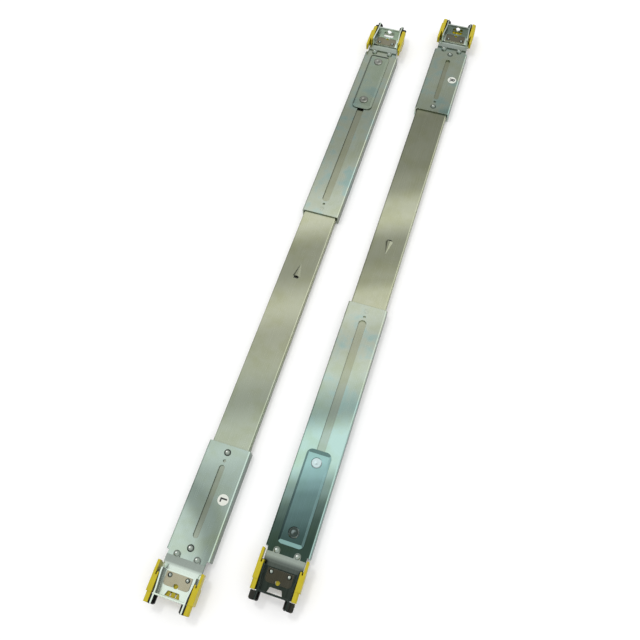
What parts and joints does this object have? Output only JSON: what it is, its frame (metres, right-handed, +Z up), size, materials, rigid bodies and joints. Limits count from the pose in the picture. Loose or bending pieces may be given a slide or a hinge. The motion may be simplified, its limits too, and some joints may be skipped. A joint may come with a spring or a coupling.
{
  "type": "sliding server rail pair",
  "caption": "Ball-bearing sliding rails that carry a server in a rack, with latching pins at both ends and a long rear bracket that slides to suit the rack's depth.",
  "frame": {"origin": "middle of the pair's bounding box, on the surface that the two rails lie on", "axes": "+Y along the rails, with the left rail at -X and its front end at -Y, the right rail at +X and its front end at +Y; +Z up, out of the webs of the brackets"},
  "size_m": [0.1284, 0.769, 0.0209],
  "materials": {
    "slide_steel": "satin, warm",
    "slide_steel_inner": "satin",
    "cage_steel": "satin",
    "ball_steel": "polished",
    "zinc_steel": "bright zinc plate",
    "rivet_steel": "bright",
    "leaf_steel": "satin spring steel",
    "pin_steel": "blackened",
    "label_white": "matte",
    "yellow_plastic": "moulded"
  },
  "bodies": {
    "rails": {"left_cabinet_member": "slide_steel", "left_front_bracket": "zinc_steel", "left_front_bracket_rivets": "rivet_steel", "left_side_label": "label_white", "left_guide_plate": "zinc_steel", "left_guide_rivets": "rivet_steel", "left_front_end_frame": "zinc_steel", "left_front_leaf_spring": "leaf_steel", "left_front_leaf_rivets": "rivet_steel", "left_front_clinch_rivets": "rivet_steel", "left_front_latch_pins": "pin_steel", "right_cabinet_member": "slide_steel", "right_front_bracket": "zinc_steel", "right_front_bracket_rivets": "rivet_steel", "right_side_label": "label_white", "right_guide_plate": "zinc_steel", "right_guide_rivets": "rivet_steel", "right_front_end_frame": "zinc_steel", "right_front_leaf_spring": "leaf_steel", "right_front_leaf_rivets": "rivet_steel", "right_front_clinch_rivets": "rivet_steel", "right_front_latch_pins": "pin_steel"},
    "left_rear_bracket": {"left_rear_bracket": "zinc_steel", "left_rear_end_frame": "zinc_steel", "left_rear_leaf_spring": "leaf_steel", "left_rear_leaf_rivets": "rivet_steel", "left_rear_clinch_rivets": "rivet_steel", "left_rear_latch_pins": "pin_steel"},
    "left_front_carriage": {"left_front_carriage": "yellow_plastic"},
    "left_rear_carriage": {"left_rear_carriage": "yellow_plastic"},
    "left_intermediate": {"left_intermediate_member": "slide_steel_inner"},
    "left_chassis": {"left_chassis_member": "slide_steel_inner"},
    "left_outer_cage": {"left_outer_ball_cage": "cage_steel", "left_outer_balls": "ball_steel"},
    "left_inner_cage": {"left_inner_ball_cage": "cage_steel", "left_inner_balls": "ball_steel"},
    "right_rear_bracket": {"right_rear_bracket": "zinc_steel", "right_rear_end_frame": "zinc_steel", "right_rear_leaf_spring": "leaf_steel", "right_rear_leaf_rivets": "rivet_steel", "right_rear_clinch_rivets": "rivet_steel", "right_rear_latch_pins": "pin_steel"},
    "right_front_carriage": {"right_front_carriage": "yellow_plastic"},
    "right_rear_carriage": {"right_rear_carriage": "yellow_plastic"},
    "right_intermediate": {"right_intermediate_member": "slide_steel_inner"},
    "right_chassis": {"right_chassis_member": "slide_steel_inner"},
    "right_outer_cage": {"right_outer_ball_cage": "cage_steel", "right_outer_balls": "ball_steel"},
    "right_inner_cage": {"right_inner_ball_cage": "cage_steel", "right_inner_balls": "ball_steel"}
  },
  "joints": [
    {"name": "left_intermediate_slide", "type": "slide", "parent": "rails", "child": "left_intermediate", "axis": [0, -1, 0], "range_m": [0, 0.33]},
    {"name": "left_chassis_slide", "type": "slide", "parent": "left_intermediate", "child": "left_chassis", "axis": [0, -1, 0], "range_m": [0, 0.33]},
    {"name": "left_outer_cage_slide", "type": "slide", "parent": "rails", "child": "left_outer_cage", "axis": [0, -1, 0], "range_m": [0, 0.165]},
    {"name": "left_inner_cage_slide", "type": "slide", "parent": "left_intermediate", "child": "left_inner_cage", "axis": [0, -1, 0], "range_m": [0, 0.165]},
    {"name": "left_rear_bracket_slide", "type": "slide", "parent": "rails", "child": "left_rear_bracket", "axis": [0, 1, 0], "range_m": [0, 0.15]},
    {"name": "left_front_carriage_slide", "type": "slide", "parent": "rails", "child": "left_front_carriage", "axis": [0, 1, 0], "range_m": [0, 0.008]},
    {"name": "left_rear_carriage_slide", "type": "slide", "parent": "left_rear_bracket", "child": "left_rear_carriage", "axis": [0, 1, 0], "range_m": [0, 0.008]},
    {"name": "right_intermediate_slide", "type": "slide", "parent": "rails", "child": "right_intermediate", "axis": [0, 1, 0], "range_m": [0, 0.33]},
    {"name": "right_chassis_slide", "type": "slide", "parent": "right_intermediate", "child": "right_chassis", "axis": [0, 1, 0], "range_m": [0, 0.33]},
    {"name": "right_outer_cage_slide", "type": "slide", "parent": "rails", "child": "right_outer_cage", "axis": [0, 1, 0], "range_m": [0, 0.165]},
    {"name": "right_inner_cage_slide", "type": "slide", "parent": "right_intermediate", "child": "right_inner_cage", "axis": [0, 1, 0], "range_m": [0, 0.165]},
    {"name": "right_rear_bracket_slide", "type": "slide", "parent": "rails", "child": "right_rear_bracket", "axis": [0, -1, 0], "range_m": [0, 0.15]},
    {"name": "right_front_carriage_slide", "type": "slide", "parent": "rails", "child": "right_front_carriage", "axis": [0, -1, 0], "range_m": [0, 0.008]},
    {"name": "right_rear_carriage_slide", "type": "slide", "parent": "right_rear_bracket", "child": "right_rear_carriage", "axis": [0, -1, 0], "range_m": [0, 0.008]}
  ],
  "couplings": [
    {"joint": "left_outer_cage_slide", "follows": "left_intermediate_slide", "ratio": 0.5},
    {"joint": "left_inner_cage_slide", "follows": "left_chassis_slide", "ratio": 0.5},
    {"joint": "right_outer_cage_slide", "follows": "right_intermediate_slide", "ratio": 0.5},
    {"joint": "right_inner_cage_slide", "follows": "right_chassis_slide", "ratio": 0.5}
  ]
}
